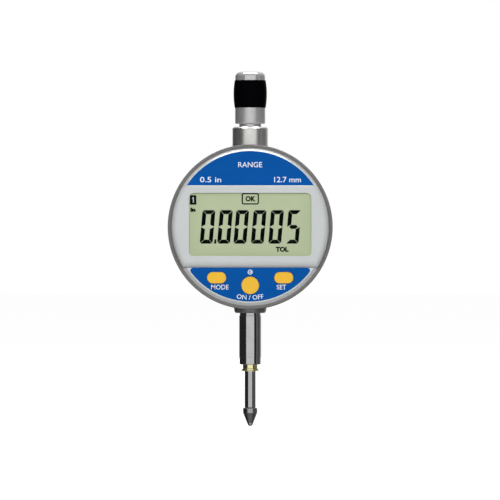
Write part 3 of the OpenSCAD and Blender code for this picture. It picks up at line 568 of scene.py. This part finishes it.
def return_coil():
    """The coil spring between the slider and the boss."""
    low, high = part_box("return_spring")
    middle_x, middle_y = (low.x + high.x) / 2, (low.y + high.y) / 2
    wire_r = COIL_WIRE / 2
    coil_r = (high.x - low.x) / 2 - wire_r
    length = high.z - low.z - COIL_WIRE
    steps = COIL_TURNS * COIL_STEPS
    corners, faces = [], []
    for i in range(steps + 1):
        turns = i / COIL_STEPS
        turn = 2 * math.pi * turns
        # The end turns climb by one wire each, and those between share the rest
        climb = min(max((turns - 1) / (COIL_TURNS - 2), 0), 1)
        end_turns = min(turns, 1) + max(turns - COIL_TURNS + 1, 0)
        rise = COIL_WIRE * end_turns + (length - 2 * COIL_WIRE) * climb
        for s in range(COIL_SIDES):
            lean = 2 * math.pi * s / COIL_SIDES
            r = coil_r + wire_r * math.cos(lean)
            corners.append((middle_x + r * math.cos(turn), middle_y + r * math.sin(turn),
                            low.z + wire_r + rise + wire_r * math.sin(lean)))
    for i in range(steps):
        for s in range(COIL_SIDES):
            a, b = i * COIL_SIDES + s, i * COIL_SIDES + (s + 1) % COIL_SIDES
            faces.append([a, b, b + COIL_SIDES, a + COIL_SIDES])
    faces.append(list(reversed(range(COIL_SIDES))))
    faces.append([steps * COIL_SIDES + s for s in range(COIL_SIDES)])
    coil = add_piece("return_coil", corners, faces, inner_metal, "case")
    for polygon in coil.data.polygons[:-2]:
        polygon.use_smooth = True
    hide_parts("return_spring")
    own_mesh(coil)


display_symbols()
label_printing()
transfer_icon()
return_coil()


# ---- Studio ----

# Place from the body's centre and size, in metres, power in watts, and whether shiny pieces mirror it
LIGHTS = {
    "top_strip": ((0, 0.06, 0.75), (0.8, 0.12), 5.4, True),
    "front_fill": ((0, -1.2, 0.17), (0.6, 0.6), 13.3, False),
    "back_fill": ((0, 1.2, 0.17), (0.6, 0.6), 8.0, False),
}


def area_light(name, place, size, power, mirrored):
    """A rectangular lamp that faces the middle of the body."""
    data = bpy.data.lights.new(name, "AREA")
    data.shape = "RECTANGLE"
    data.size, data.size_y = size
    data.energy = power
    lamp = bpy.data.objects.new(name, data)
    bpy.context.scene.collection.objects.link(lamp)
    x, y, z = place
    lamp.location = (x, y, BODY_Z + z)
    to_body = Vector((0, 0, BODY_Z)) - lamp.location
    lamp.rotation_euler = to_body.to_track_quat("-Z", "Y").to_euler()
    lamp.visible_glossy = mirrored


# Panels of light that metals mirror: azimuth from the camera towards +X and half width, lowest and highest
# elevation, soft edge (all in degrees), brightness
PANELS = (
    (0, 42, -32, 34, 3, 0.88),
    (78, 12, -30, 40, 8, 0.15),
    (116, 18, -30, 50, 10, 0.13),
    (172, 36, -30, 60, 10, 0.75),
    (0, 181, 36, 91, 14, 0.35),
    (0, 181, -91, -42, 14, 0.22),
)
ROOM_LEVEL = 0.03


def studio_world():
    """White to the camera; to everything else a dark room with panels of light."""
    world = bpy.data.worlds.new("studio")
    bpy.context.scene.world = world
    world.use_nodes = True
    tree = world.node_tree
    tree.nodes.clear()

    def connect(value, socket):
        if isinstance(value, (int, float)):
            socket.default_value = value
        else:
            tree.links.new(value, socket)

    def calc(operation, a, b=None):
        node = tree.nodes.new("ShaderNodeMath")
        node.operation = operation
        for socket, value in zip(node.inputs, (a, b)):
            if value is not None:
                connect(value, socket)
        return node.outputs[0]

    def fade(value, zero_at, one_at):
        node = tree.nodes.new("ShaderNodeMapRange")
        node.interpolation_type = "SMOOTHSTEP"
        connect(value, node.inputs["Value"])
        node.inputs["From Min"].default_value = zero_at
        node.inputs["From Max"].default_value = one_at
        return node.outputs[0]

    coords = tree.nodes.new("ShaderNodeTexCoord")
    parts = tree.nodes.new("ShaderNodeSeparateXYZ")
    tree.links.new(coords.outputs["Generated"], parts.inputs[0])
    azimuth = calc("DEGREES", calc("ARCTAN2", parts.outputs["X"], calc("MULTIPLY", parts.outputs["Y"], -1)))
    elevation = calc("DEGREES", calc("ARCSINE", parts.outputs["Z"]))

    # Each panel fades with the angle from its middle, taken the shorter way round, and with the elevation
    total = ROOM_LEVEL
    for middle, half, low, high, soft, level in PANELS:
        shifted = calc("ADD", calc("SUBTRACT", azimuth, middle), 540)
        away = calc("ABSOLUTE", calc("SUBTRACT", calc("MODULO", shifted, 360), 180))
        across = fade(away, half + soft / 2, half - soft / 2)
        above = fade(elevation, low - soft / 2, low + soft / 2)
        below = fade(elevation, high + soft / 2, high - soft / 2)
        panel = calc("MULTIPLY", calc("MULTIPLY", across, calc("MULTIPLY", above, below)), level)
        total = calc("ADD", panel, total)

    output = tree.nodes.new("ShaderNodeOutputWorld")
    mix = tree.nodes.new("ShaderNodeMixShader")
    path = tree.nodes.new("ShaderNodeLightPath")
    backdrop = tree.nodes.new("ShaderNodeBackground")
    backdrop.inputs["Color"].default_value = (1, 1, 1, 1)
    room = tree.nodes.new("ShaderNodeBackground")
    tree.links.new(total, room.inputs["Color"])
    tree.links.new(path.outputs["Is Camera Ray"], mix.inputs[0])
    tree.links.new(room.outputs[0], mix.inputs[1])
    tree.links.new(backdrop.outputs[0], mix.inputs[2])
    tree.links.new(mix.outputs[0], output.inputs["Surface"])
    world.cycles_visibility.diffuse = False


FLOOR_HALF = 6.0
FLOOR_DROP = 0.2 * MM
FLOOR_GREY = 0.3
FLOOR_SHOWN = 0.985


def pale_floor():
    """A pale floor that shows nearly white, with only the faintest shadow, and is clear from below."""
    g = Graph("floor_paint")
    g.set(Base_Color=(FLOOR_GREY,) * 3, Roughness=0.9, Specular_IOR_Level=0.0, Emission_Color=(1, 1, 1))
    path = g.add("ShaderNodeLightPath")
    facing = g.add("ShaderNodeNewGeometry")
    g.link(g.math("SUBTRACT", 1, facing.outputs["Backfacing"]), g.shader.inputs["Alpha"])
    shown = g.math("MULTIPLY", path.outputs["Is Camera Ray"], FLOOR_SHOWN)
    g.link(shown, g.shader.inputs["Emission Strength"])
    mesh = bpy.data.meshes.new("floor")
    level = TIP_Z - FLOOR_DROP
    corners = [(x * FLOOR_HALF, y * FLOOR_HALF, level) for x, y in ((-1, -1), (1, -1), (1, 1), (-1, 1))]
    mesh.from_pydata(corners, [], [(0, 1, 2, 3)])
    mesh.materials.append(g.material)
    floor = bpy.data.objects.new("floor", mesh)
    bpy.context.scene.collection.objects.link(floor)
    floor.visible_glossy = False


CAMERA_DISTANCE = 2.0
CAMERA_X = -0.07 * MM
CAMERA_UNDER_BODY = 8.30 * MM
VIEW_W = 180.67 * MM
SENSOR_W = 36


def photo_camera():
    """Looks straight along +Y from far off, so the view is nearly free of perspective."""
    data = bpy.data.cameras.new("camera")
    camera = bpy.data.objects.new("camera", data)
    bpy.context.scene.collection.objects.link(camera)
    data.sensor_width = SENSOR_W
    data.lens = SENSOR_W * CAMERA_DISTANCE / VIEW_W
    data.clip_start, data.clip_end = 0.05, 20
    camera.location = (CAMERA_X, -CAMERA_DISTANCE, BODY_Z - CAMERA_UNDER_BODY)
    camera.rotation_euler = (math.radians(90), 0, 0)
    bpy.context.scene.camera = camera


studio_world()
pale_floor()
for name, (place, size, power, mirrored) in LIGHTS.items():
    area_light(name, place, size, power, mirrored)
photo_camera()
bpy.context.scene.view_settings.view_transform = "Standard"
